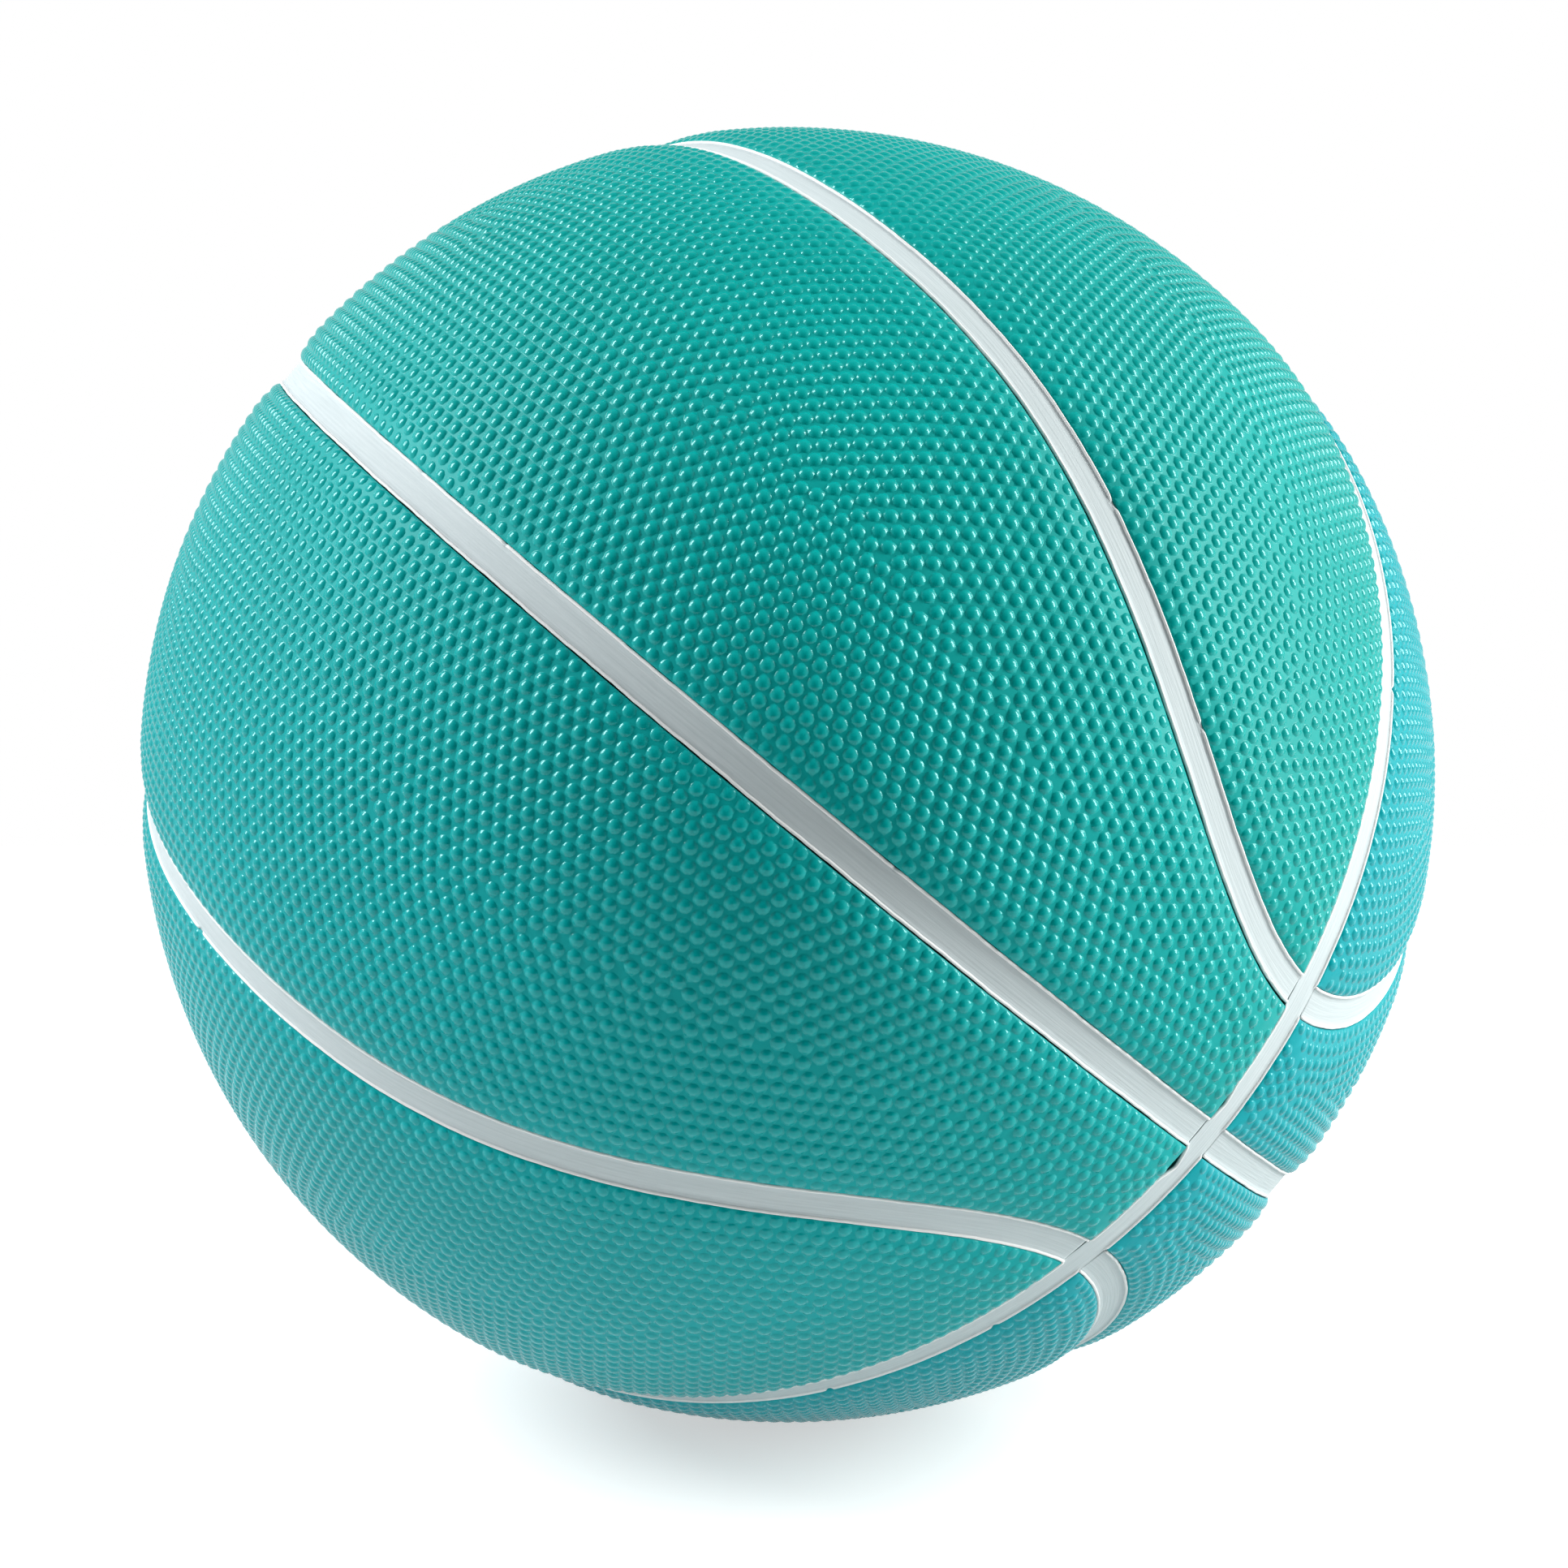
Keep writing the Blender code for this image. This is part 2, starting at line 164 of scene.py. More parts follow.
# Bake map: the shares of it that a panel's faces fill, and those of a strip's sides and ends
MAP_START = 0.01
MAP_END = 0.99
MAP_PANEL_TOP = ((0.01, 0.01), (0.99, 0.80))
MAP_PANEL_UNDERSIDE = ((0.01, 0.82), (0.99, 0.94))
MAP_RIM_LEVEL = 0.97
MAP_HOLE_LEVEL = 0.99
MAP_WALL_HEIGHT = 0.01
MAP_STRIP_TOP = 0.95
MAP_STRIP_END_STARTS = (0.01, 0.51)
MAP_STRIP_END_WIDTH = 0.4
MAP_STRIP_END_LEVELS = (0.97, 0.99)

# Teal of the panels, two shades of it, with painted blue light: bluer shades low down, and a bluer rear half.
FRONT_GREENS = ((0.0, 0.325, 0.300), (0.0, 0.365, 0.340))
FRONT_PAINTED_BLUE_LIGHT = ((0.0, 0.320, 0.355), (0.0, 0.350, 0.390))
REAR_GREENS_PAINTED_BLUER = ((0.0, 0.320, 0.360), (0.0, 0.350, 0.395))
REAR_PAINTED_BLUE_LIGHT = ((0.0, 0.315, 0.365), (0.0, 0.345, 0.400))
# Painted blue light: towards this side of the ball the teal turns to the bluer shades
PAINTED_BLUE_LIGHT_SIDE = (-0.6, 0.0, -0.8)
PAINTED_BLUE_LIGHT_FADE = (-0.04, 0.10)

# Range that most values of a noise lie in
NOISE_SPAN = (0.3, 0.7)

# Rubber of the panels: its cloud of shades and its grain, and how the shine grows up the foot of a pebble
PANEL_CLOUD = {"scale": 30.0, "detail": 4.0}
PANEL_GRAIN = {"scale": 1800.0, "detail": 3.0}
PANEL_GRAIN_HEIGHT = 0.008 * MM
PANEL_GRAIN_ROUGHNESS = 0.05
SHINE_FULL = 0.15
VALLEY_ROUGHNESS = 0.46
PEBBLE_ROUGHNESS = 0.16
VALLEY_SPECULAR = 0.24
PEBBLE_SPECULAR = 0.40
PANEL_SPECULAR_TINT = (0.5, 1.0, 1.0, 1.0)

# Paint of the strips: two shades in streaks along the floor, whiter lips and near-black sides.
STRIP_FLOORS = ((0.51, 0.59, 0.61), (0.59, 0.665, 0.685))
# The lips' extra white is in part a painted highlight along their round tops
STRIP_LIP_WHITE_AND_HIGHLIGHT = (0.86, 0.87, 0.87)
# The sides' near-black is painted shade, for the deep gaps beside the strips
STRIP_SIDE_PAINTED_SHADE = (0.004, 0.055, 0.050)
STRIP_SIDE_SHADE_FROM = -0.15
STRIP_ROUGHNESS = (0.50, 0.66)
STRIP_SPECULAR = 0.1
STREAK = {"scale": 90.0, "detail": 5.0}
STREAK_STRETCH = 40.0
STREAK_HEIGHT = 0.06 * MM

# Dark rubber of the valve and the inner layers, and the wound thread between them
VALVE_SHADES = ((0.018, 0.018, 0.020), (0.034, 0.034, 0.036))
CARCASS_SHADES = ((0.022, 0.022, 0.024), (0.040, 0.040, 0.042))
BLADDER_SHADES = ((0.012, 0.012, 0.014), (0.026, 0.026, 0.028))
RUBBER_CLOUD = {"scale": 60.0, "detail": 3.0}
RUBBER_GRAIN_DETAIL = 3.0
RUBBER_GRAIN_HEIGHT = 0.05 * MM
RUBBER_ROUGHNESS_SPREAD = 0.08
THREAD_SHADES = ((0.42, 0.39, 0.33), (0.78, 0.75, 0.67))
THREAD_TURNS = ((0.3, 0.2, 0.0), (1.4, 0.5, 0.9), (0.7, 1.2, 2.1))
THREAD_SCALE = 600.0
THREAD_DISTORTION = 0.6
THREAD_HEIGHT = 0.2 * MM
THREAD_ROUGHNESS = 0.8

# Camera: how far from the ball's centre, how high, its lens, and where the centre falls in the picture
PICTURE_SIZE = 1932
VIEW_DISTANCE = 4.063 * BALL_RADIUS
VIEW_ELEVATION = 6.0
SENSOR_WIDTH = 36.0
FOCAL_PIXELS = 3145.0
BALL_PIXEL = (970.0, 954.5)

# Light: two upright soft boxes, and the levels of soft walls and a ceiling that fade out to their edges
LAMP_DISTANCE = 0.9
LAMP_WIDTH = 0.22
RIGHT_LAMP = {"direction": (0.90, -0.12, 0.38), "height": 0.64, "power": 10.3, "colour": (1.0, 0.99, 0.96)}
LEFT_LAMP = {"direction": (-0.76, -0.10, 0.64), "height": 0.54, "power": 8.6, "colour": (1.0, 1.0, 1.0)}
WALL_LEFT = 0.9
WALL_RIGHT = 1.0
CEILING = 0.2
BACKDROP = 1.0
WALL_EDGE = 0.3

# Floor: where it ends, its colour, and the white that it adds for the camera
FLOOR_HALF = 0.6
FLOOR_FRONT = -0.30
FLOOR_COLOUR = (0.70, 0.70, 0.70, 1.0)
FLOOR_GLOW = 0.55
WHITE = (1.0, 1.0, 1.0, 1.0)

UNMIRRORED = (1.0, 1.0, 1.0)
SEAM_TURN = np.array(Euler([radians(turn) for turn in REST_TURN]).to_matrix())


def on_sphere(longitude, latitude):
    """Directions from the ball's centre."""
    across = np.cos(latitude)
    return np.stack([across * np.cos(longitude), across * np.sin(longitude), np.sin(latitude)], axis=-1)


def unit(vectors):
    return vectors / np.linalg.norm(vectors, axis=-1, keepdims=True)


def loop_latitude(longitude):
    """Latitude of the loop's middle line at each longitude."""
    return np.radians(sum(term * np.cos(2 * k * longitude) for k, term in enumerate(LOOP_TERMS)))


def beside_loop(longitude, offset):
    """Directions beside the loop, by an angle counted away from the meridian."""
    before = on_sphere(longitude - SLOPE_STEP, loop_latitude(longitude - SLOPE_STEP))
    after = on_sphere(longitude + SLOPE_STEP, loop_latitude(longitude + SLOPE_STEP))
    centre = on_sphere(longitude, loop_latitude(longitude))
    aside = unit(np.cross(centre, after - before))
    offset = np.asarray(offset)[..., None]
    return centre * np.cos(offset) + aside * np.sin(offset)


def beside_meridian(longitude, offset):
    """Directions beside the meridian, by an angle counted towards the loop."""
    longitude, offset = np.broadcast_arrays(longitude, offset)
    return on_sphere(longitude, offset)


def beside_equator(turn, offset):
    """Directions beside the equator, turned from +Z towards +X."""
    turn, offset = np.broadcast_arrays(turn, offset)
    across = np.cos(offset)
    return np.stack([across * np.sin(turn), np.sin(offset), across * np.cos(turn)], axis=-1)


def seam_start(beside, offset, end_angle):
    """Longitude at which a line beside a seam comes within an angle of the equator."""
    low, high = 0.0, pi / 2
    for _ in range(SEARCH_HALVINGS):
        middle = (low + high) / 2
        if beside(np.array(middle), offset)[1] < sin(end_angle):
            low = middle
        else:
            high = middle
    return low


def line_lengths(line):
    """Length from the start of a line of directions to each of them, on the ball."""
    steps = np.linalg.norm(np.diff(line, axis=0), axis=1) * BALL_RADIUS
    return np.concatenate([[0.0], np.cumsum(steps)])


def along_line(line, places):
    """Directions at given lengths along a line of directions."""
    lengths = line_lengths(line)
    return unit(np.stack([np.interp(places, lengths, line[:, k]) for k in range(3)], axis=1))


def evenly(line, step):
    """A line of directions sampled again at about an even step, with its two ends kept."""
    length = line_lengths(line)[-1]
    return along_line(line, np.linspace(0.0, length, max(2, round(length / step)) + 1))


def tree_of(points):
    tree = KDTree(len(points))
    for index, point in enumerate(points):
        tree.insert(point, index)
    tree.balance()
    return tree


LOOP_TREE = tree_of(beside_loop(np.linspace(-LOOP_OVERRUN, pi + LOOP_OVERRUN, LOOP_TREE_SAMPLES), 0.0))


def loop_distance(points):
    """Angles from the loop."""
    chords = np.array([LOOP_TREE.find(point)[2] for point in points])
    return 2 * np.arcsin(chords / 2)


def seam_distances(points):
    """Angles from the meridian, the equator and the loop."""
    meridian = np.arcsin(np.clip(points[:, 2], -1, 1))
    equator = np.arcsin(np.clip(points[:, 1], -1, 1))
    return np.abs(np.stack([meridian, equator, loop_distance(points)], axis=1))


def rim_insets(points):
    """How far each direction lies in from the rim of its panel."""
    return (seam_distances(points).min(axis=1) - RIM_ANGLE) * RIM_RADIUS


def panel_seams(kind):
    """The lines round a panel: a function beside a seam, which side of it, and how far it runs."""
    crossing = pi / 2 - float(loop_latitude(0.0))
    if kind == "middle":
        return (
            (beside_meridian, 1, 0.0, pi),
            (beside_loop, -1, 0.0, pi),
            (beside_equator, 1, crossing, pi / 2),
            (beside_equator, 1, -pi / 2, -crossing),
        )
    return (
        (beside_loop, 1, 0.0, pi),
        (beside_equator, 1, -crossing, crossing),
    )


def equator_between(start, end, angle):
    """A line beside the equator from one direction to another."""
    turns = np.linspace(np.arctan2(start[0], start[2]), np.arctan2(end[0], end[2]), LINE_SAMPLES)
    return beside_equator(turns, angle)


def panel_outline(kind, inset, step):
    """Directions round a panel at an inset from its rim, counter-clockwise seen from outside."""
    angle = RIM_ANGLE + inset / RIM_RADIUS
    offset = -angle if kind == "middle" else angle
    start = seam_start(beside_loop, offset, angle)
    loop = beside_loop(np.linspace(start, pi - start, LINE_SAMPLES), offset)
    if kind == "middle":
        start = seam_start(beside_meridian, angle, angle)
        base = beside_meridian(np.linspace(start, pi - start, LINE_SAMPLES), angle)
        first_end = equator_between(base[-1], loop[-1], angle)
        last_end = equator_between(loop[0], base[0], angle)
        sides = [base, first_end, loop[::-1], last_end]
    else:
        sides = [loop, equator_between(loop[-1], loop[0], angle)]
    return np.concatenate([evenly(side, step)[:-1] for side in sides])


def row_of_pebbles(seam, inset, shift):
    """Directions one pitch apart along a line beside a seam, counted from the middle of the line."""
    beside, side, first, last = seam
    angle = RIM_ANGLE + inset / RIM_RADIUS
    line = beside(np.linspace(first, last, LINE_SAMPLES), side * angle)
    length = line_lengths(line)[-1]
    count = int(length / 2 / PEBBLE_PITCH) + 1
    places = length / 2 + (np.arange(-count, count + 1) + shift / 2) * PEBBLE_PITCH
    places = places[(places > 0) & (places < length)]
    points = along_line(line, places)
    nearest = seam_distances(points).min(axis=1)
    return points[nearest > angle - PEBBLE_ROW_SLACK / RIM_RADIUS]


def in_panel(kind, points):
    """True where a direction lies on the panel's side of the loop."""
    latitude = np.arcsin(np.clip(points[:, 2], -1, 1))
    inside = latitude > loop_latitude(np.arctan2(points[:, 1], points[:, 0]))
    return inside if kind == "side" else ~inside


def all_rows(kind):
    """Pebbles of every row, from the rim inwards, leaving out any too near an earlier one."""
    kept = []
    cells = {}
    cell_size = PEBBLE_LEAST_GAP / BALL_RADIUS
    row = 0
    while True:
        inset = PEBBLE_FIRST_ROW + row * PEBBLE_ROW
        rows = [row_of_pebbles(seam, inset, row % 2) for seam in panel_seams(kind)]
        points = np.concatenate(rows)
        points = points[in_panel(kind, points)]
        if not len(points):
            return np.array(kept)
        for point in points:
            cell = tuple(np.floor(point / cell_size).astype(int))
            near = [
                other
                for i in (-1, 0, 1)
                for j in (-1, 0, 1)
                for k in (-1, 0, 1)
                for other in cells.get((cell[0] + i, cell[1] + j, cell[2] + k), ())
            ]
            if all(np.linalg.norm(point - other) > cell_size for other in near):
                cells.setdefault(cell, []).append(point)
                kept.append(point)
        row += 1


def neighbour_pairs(points, reach):
    """Numbers of each two points within reach of each other."""
    tree = tree_of(points)
    pairs = []
    for index, point in enumerate(points):
        pairs += [(index, other) for _, other, _ in tree.find_range(point, reach) if other > index]
    return np.array(pairs)


def relaxed(points):
    """Pebbles pushed apart where rows of two seams meet, with those beside the rim held."""
    rest = RELAX_REACH * PEBBLE_PITCH / BALL_RADIUS
    free = (rim_insets(points) > PEBBLE_FIRST_ROW + RELAX_HELD_ROWS * PEBBLE_ROW)[:, None]
    for _ in range(RELAX_ROUNDS):
        pairs = neighbour_pairs(points, rest)
        apart = points[pairs[:, 0]] - points[pairs[:, 1]]
        gaps = np.linalg.norm(apart, axis=1, keepdims=True)
        push = apart / gaps * (rest - gaps) * RELAX_PUSH
        move = np.zeros_like(points)
        np.add.at(move, pairs[:, 0], push)
        np.add.at(move, pairs[:, 1], -push)
        points = unit(points + move * free)
    return points


def tangents(points):
    """Two directions square to each direction and to each other."""
    guide = np.where(np.abs(points[:, 2:3]) < NEAR_AXIS, [[0.0, 0.0, 1.0]], [[1.0, 0.0, 0.0]])
    first = unit(np.cross(guide, points))
    return first, np.cross(points, first)


def ring_round(points, radii, count):
    """Directions on circles of an angular radius round each of some directions."""
    first, second = tangents(points)
    turns = np.arange(count) * 2 * pi / count
    out = first[:, None] * np.cos(turns)[None, :, None] + second[:, None] * np.sin(turns)[None, :, None]
    radii = radii[:, None, None]
    return (points[:, None] * np.cos(radii) + out * np.sin(radii)).reshape(-1, 3)


class Flattened:
    """A stereographic map about a direction. It keeps circles round, so that flat triangles fit the ball."""

    def __init__(self, centre):
        self.centre = unit(np.array(centre))
        first, second = tangents(self.centre[None])
        self.first = first[0]
        self.second = second[0]

    def flat(self, points):
        scale = 2 / (1 + points @ self.centre)
        return np.stack([points @ self.first * scale, points @ self.second * scale], axis=1)

    def back(self, places):
        square = (places**2).sum(axis=1, keepdims=True) / 4
        out = places[:, :1] * self.first + places[:, 1:] * self.second
        return (out + (1 - square) * self.centre) / (1 + square)


def triangulated(flattened, outline, inner, hole):
    """Directions and triangles over a panel, and where its outline and its hole came out among them."""
    points = np.concatenate([outline, hole, inner])
    rim = list(range(len(outline)))
    mouth = [len(outline) + k for k in range(len(hole))]
    edges = list(zip(mouth, mouth[1:] + mouth[:1]))
    places, _, faces, sources, _, _ = delaunay_2d_cdt(
        [Vector(place) for place in flattened.flat(points)], edges, [rim], 1, TINY
    )
    found = {source: index for index, group in enumerate(sources) for source in group}
    directions = flattened.back(np.array([place[:] for place in places]))
    faces = np.array([face[:] for face in faces])
    if len(hole):
        middle = unit(hole.mean(axis=0))
        centres = unit(directions[faces].mean(axis=1))
        faces = faces[centres @ middle < cos(VALVE_HOLE_RADIUS / BALL_RADIUS)]
    return directions, faces, [found[k] for k in rim], [found[k] for k in mouth]


class Skin:
    """The outer surface of a panel: a shoulder down to the rim, with pebbles standing on it."""

    def __init__(self, pebbles):
        self.pebbles = pebbles
        self.tree = tree_of(pebbles)
        gaps = np.array([self.tree.find_n(point, 2)[1][2] for point in pebbles]) * BALL_RADIUS
        insets = (seam_distances(pebbles) - RIM_ANGLE) * RIM_RADIUS
        insets[:, 1] += PEBBLE_EQUATOR_GAIN
        fade = np.clip((insets.min(axis=1) - PEBBLE_FIRST_ROW) / PEBBLE_FADE, 0.0, 1.0)
        size = PEBBLE_LEAST_SIZE + (1 - PEBBLE_LEAST_SIZE) * fade
        slope = PEBBLE_LEAST_SLOPE + (1 - PEBBLE_LEAST_SLOPE) * fade
        self.radii = np.minimum(PEBBLE_RADIUS * size, PEBBLE_GAP_SHARE * gaps)
        self.curves = self.radii / np.sin(np.radians(PEBBLE_FOOT_SLOPE * slope))

    def points(self):
        rings = [
            ring_round(self.pebbles, share * self.radii / BALL_RADIUS, count)
            for share, count in PEBBLE_RINGS
        ]
        return np.concatenate([self.pebbles] + rings)

    def rises(self, directions):
        """Height of a pebble at each direction, its share of the full height, and how its side slopes."""
        found = [self.tree.find(point) for point in directions]
        index = np.array([item[1] for item in found])
        out = directions - self.pebbles[index]
        away = np.linalg.norm(out, axis=1) * BALL_RADIUS
        radius = self.radii[index]
        curve = self.curves[index]
        flank = np.minimum(away, radius)
        base = np.sqrt(curve**2 - radius**2)
        height = np.sqrt(curve**2 - flank**2) - base
        slope = np.where(away < radius, flank / np.sqrt(curve**2 - flank**2), 0.0)
        out = out / np.maximum(away / BALL_RADIUS, TINY)[:, None]
        return height, height / (curve - base), out * slope[:, None]


def shoulder_radii(insets):
    """Radius of the valleys between pebbles, from the rim up to the crown."""
    fall = np.clip(1 - insets / SHOULDER_WIDTH, 0.0, 1.0) ** 2
    edge = np.clip(1 - insets / RIM_ROUND, 0.0, 1.0) ** 2
    crown = BALL_RADIUS - PEBBLE_HEIGHT
    return crown - (SHOULDER_DROP - PEBBLE_HEIGHT) * fall - RIM_ROUND_DROP * edge


def shoulder_tilts(directions):
    """How the valleys slope at each direction, as the outward radius's loss along two tangents."""
    step = TILT_STEP / BALL_RADIUS
    here = shoulder_radii(np.maximum(rim_insets(directions), 0.0))
    tilt = np.zeros_like(directions)
    for tangent in tangents(directions):
        there = shoulder_radii(np.maximum(rim_insets(unit(directions + step * tangent)), 0.0))
        tilt -= tangent * ((there - here) / (step * BALL_RADIUS))[:, None]
    return tilt


def underside_points(kind, flattened, outline):
    """A coarse spread of directions inside a panel's rim, for its underside."""
    places = flattened.flat(outline)
    low, high = places.min(axis=0), places.max(axis=0)
    step = UNDERSIDE_STEP / BALL_RADIUS
    columns = np.arange(low[0], high[0], step)
    rows = np.arange(low[1], high[1], step)
    grid = np.stack(np.meshgrid(columns, rows), axis=-1)
    points = flattened.back(grid.reshape(-1, 2))
    points = points[(points[:, 1] > 0) & (points[:, 2] > 0)]
    points = points[in_panel(kind, points)]
    return points[rim_insets(points) > UNDERSIDE_MARGIN]


class Shape:
    """Points, faces, bake map and values for each point of one closed piece, in the seam frame."""

    def __init__(self):
        self.points = np.zeros((0, 3))
        self.normals = np.zeros((0, 3))
        self.values = {}
        self.faces = []
        self.corners = []

    def add_points(self, points, normals=None, **values):
        first = len(self.points)
        self.points = np.concatenate([self.points, points])
        normals = np.zeros_like(points) if normals is None else normals
        self.normals = np.concatenate([self.normals, normals])
        for name, value in values.items():
            self.values[name] = np.concatenate([self.values.get(name, np.zeros(0)), value])
        return first

    def add_faces(self, faces, corners):
        self.faces += faces
        self.corners += corners


def fitted(places, low, high):
    """Flat places scaled to fill a part of the bake map."""
    least, most = places.min(axis=0), places.max(axis=0)
    return np.array(low) + (places - least) / (most - least) * (np.array(high) - np.array(low))


def wall_between(upper, lower, level):
    """Quads joining two rings of point numbers that run the same way round, and their place in the map."""
    count = len(upper)
    faces = []
    corners = []
    for k in range(count):
        after = (k + 1) % count
        faces.append((upper[k], lower[k], lower[after], upper[after]))
        left = MAP_START + (MAP_END - MAP_START) * k / count
        right = MAP_START + (MAP_END - MAP_START) * (k + 1) / count
        below = level - MAP_WALL_HEIGHT
        corners.append(((left, level), (left, below), (right, below), (right, level)))
    return faces, corners


def panel_shape(kind, pebbles, with_hole):
    """A closed panel: its pebbled top, a smooth underside and the walls round its rim and its hole."""
    valve = on_sphere(np.array([radians(VALVE_LONGITUDE)]), np.array([radians(VALVE_LATITUDE)]))
    outline = panel_outline(kind, 0.0, RIM_STEP)
    flattened = Flattened(outline.mean(axis=0))
    hole = np.zeros((0, 3))
    if with_hole:
        hole = ring_round(valve, np.array([VALVE_HOLE_RADIUS / BALL_RADIUS]), VALVE_STEPS)
        pebbles = pebbles[pebbles @ valve[0] < cos((VALVE_HOLE_RADIUS + VALVE_MARGIN) / BALL_RADIUS)]
    skin = Skin(pebbles)
    lines = [panel_outline(kind, inset, RIM_STEP) for inset in RIM_LINES]
    top, faces, rim, mouth = triangulated(flattened, outline, np.concatenate(lines + [skin.points()]), hole)
    insets = np.maximum(rim_insets(top), 0.0)
    height, crest, tilt = skin.rises(top)
    normals = unit(top + tilt + shoulder_tilts(top))
    radii = shoulder_radii(insets) + height

    shape = Shape()
    shape.add_points(top * radii[:, None], normals, crest=crest, inset=insets)
    places = fitted(flattened.flat(top), *MAP_PANEL_TOP)
    shape.add_faces(faces.tolist(), places[faces].tolist())

    coarse = underside_points(kind, flattened, outline)
    under, faces, under_rim, under_mouth = triangulated(flattened, outline, coarse, hole)
    flat_values = np.zeros(len(under))
    first = shape.add_points(under * SEAT_RADIUS, crest=flat_values, inset=flat_values)
    places = fitted(flattened.flat(under), *MAP_PANEL_UNDERSIDE)
    faces = faces[:, ::-1]
    shape.add_faces((faces + first).tolist(), places[faces].tolist())

    shape.add_faces(*wall_between(rim, [first + k for k in under_rim], MAP_RIM_LEVEL))
    if with_hole:
        shape.add_faces(*wall_between(mouth[::-1], [first + k for k in under_mouth[::-1]], MAP_HOLE_LEVEL))
    return shape


def mesh_from(name, shape, signs):
    """A mesh in world coordinates from a shape mirrored by signs along X, Y and Z."""
    turn = np.diag(signs) @ SEAM_TURN.T
    step = -1 if np.prod(signs) < 0 else 1
    mesh = bpy.data.meshes.new(name)
    mesh.from_pydata((shape.points @ turn).tolist(), [], [face[::step] for face in shape.faces])
    for label, value in shape.values.items():
        layer = mesh.attributes.new(label, "FLOAT", "POINT")
        layer.data.foreach_set("value", value.astype(np.float32))
    if shape.corners:
        layer = mesh.uv_layers.new(name="OFBake")
        corners = [corner for face in shape.corners for corner in face[::step]]
        layer.data.foreach_set("uv", np.array(corners, dtype=np.float32).ravel())
    mesh.shade_smooth()
    mesh.normals_split_custom_set_from_vertices((shape.normals @ turn).tolist())
    return mesh


def add_piece(name, mesh, material, node):
    """A visible piece that stands in for a solid of the frame."""
    mesh.materials.append(material)
    piece = bpy.data.objects.new(name, mesh)
    bpy.context.scene.collection.objects.link(piece)
    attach(piece, "root")
    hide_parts(node)
    return piece


def waves(places, seed, parts):
    """An uneven line: sines of given lengths and heights along it, with seeded phases."""
    phases = np.random.RandomState(seed).uniform(0, 2 * pi, len(parts))
    return sum(high * np.sin(2 * pi * places / long + phase) for (long, high), phase in zip(parts, phases))


def bumps(places, seed, spacing, width, height):
    """Scattered round bumps along a line, about one in each spacing."""
    random = np.random.RandomState(seed)
    total = places.max()
    centres = random.uniform(0, total, max(1, int(total / spacing)))
    highs = height * random.uniform(*NICK_HEIGHT_SHARES, len(centres))
    widths = width * random.uniform(*NICK_WIDTH_SHARES, len(centres))
    shapes = highs * np.exp(-(((places[:, None] - centres) / widths) ** 2))
    return shapes.sum(axis=1)


def lip_section():
    """A lip from its outer side inwards: distance in, depth under the rim, and share of lip."""
    turns = np.linspace(0.0, pi, LIP_STEPS)
    reach = LIP_WIDTH / 2 * (1 - np.cos(turns))
    rise = np.sin(turns)
    depth = LIP_SIDE_DEPTH - (LIP_SIDE_DEPTH - LIP_TOP) * rise
    return reach, depth, np.clip(rise * LIP_SHARE_GAIN, 0.0, 1.0)


def strip_side(places, side, gap, seed, stand):
    """One side of a strip at each place along it: distances across, depths under the rim and lip shares."""
    reach, depth, on_lip = lip_section()
    nicks = bumps(places, seed, NICK_SPACING, NICK_WIDTH, NICK_STRENGTH)
    left = stand * (1 - np.clip(nicks, 0.0, 1.0))
    edge = CHANNEL_WIDTH / 2 - gap + waves(places, seed, LIP_WAVES) - NICK_REACH * (stand - left)
    edge = np.minimum(edge, CHANNEL_WIDTH / 2 - STRIP_SHUT_GAP / 2)[:, None]
    inner = edge - LIP_WIDTH
    across = np.concatenate([edge, edge - reach, inner - LEDGE_WIDTH / 2, inner - LEDGE_WIDTH], axis=1)
    rows = np.ones_like(edge)
    depths = [
        rows * (RIM_RADIUS - SEAT_RADIUS),
        FLOOR_SINK - (FLOOR_SINK - depth) * left[:, None],
        FLOOR_SINK + (LEDGE_DEPTH - FLOOR_SINK) * stand[:, None],
        rows * FLOOR_SINK,
    ]
    share = np.concatenate([[0.0], on_lip, [0.0, 0.0]])
    share = np.outer(left, share)
    # A share of -1 marks a strip's outer side, which the paint turns near-black as painted shade in the gap
    share[:, 0] = -1.0
    return side * across, np.concatenate(depths, axis=1), share


def strip_grid(places, gaps, seed, stand):
    """A strip's section at each place along it, from one side over the floor to the other side."""
    sides = [strip_side(places, side, gap, seed + side, stand) for side, gap in zip((-1, 1), gaps)]
    blend = np.linspace(0.0, 1.0, FLOOR_STEPS + 2)[1:-1]
    start = sides[0][0][:, -1:]
    end = sides[1][0][:, -1:]
    floor = start + (end - start) * blend
    middles = (floor, np.full_like(floor, FLOOR_SINK), np.zeros_like(floor))
    return [
        np.concatenate([left, middle, right[:, ::-1]], axis=1)
        for left, middle, right in zip(sides[0], middles, sides[1])
    ]


def grid_faces(rows, columns, closed):
    """Quads over a grid of points whose columns close on themselves, and their corners in the bake map."""
    numbers = np.arange(rows * columns).reshape(rows, columns)
    if closed:
        numbers = np.concatenate([numbers, numbers[:1]])
    ring = np.concatenate([numbers, numbers[:, :1]], axis=1)
    along = np.linspace(MAP_START, MAP_END, ring.shape[0])
    around = np.linspace(MAP_START, MAP_STRIP_TOP, ring.shape[1])
    places = np.stack(np.meshgrid(along, around, indexing="ij"), axis=-1)

    def corners_of(grid):
        return np.stack([grid[:-1, :-1], grid[1:, :-1], grid[1:, 1:], grid[:-1, 1:]], axis=2)

    quads = corners_of(ring).reshape(-1, 4).tolist()
    return quads, corners_of(places).reshape(-1, 4, 2).tolist()


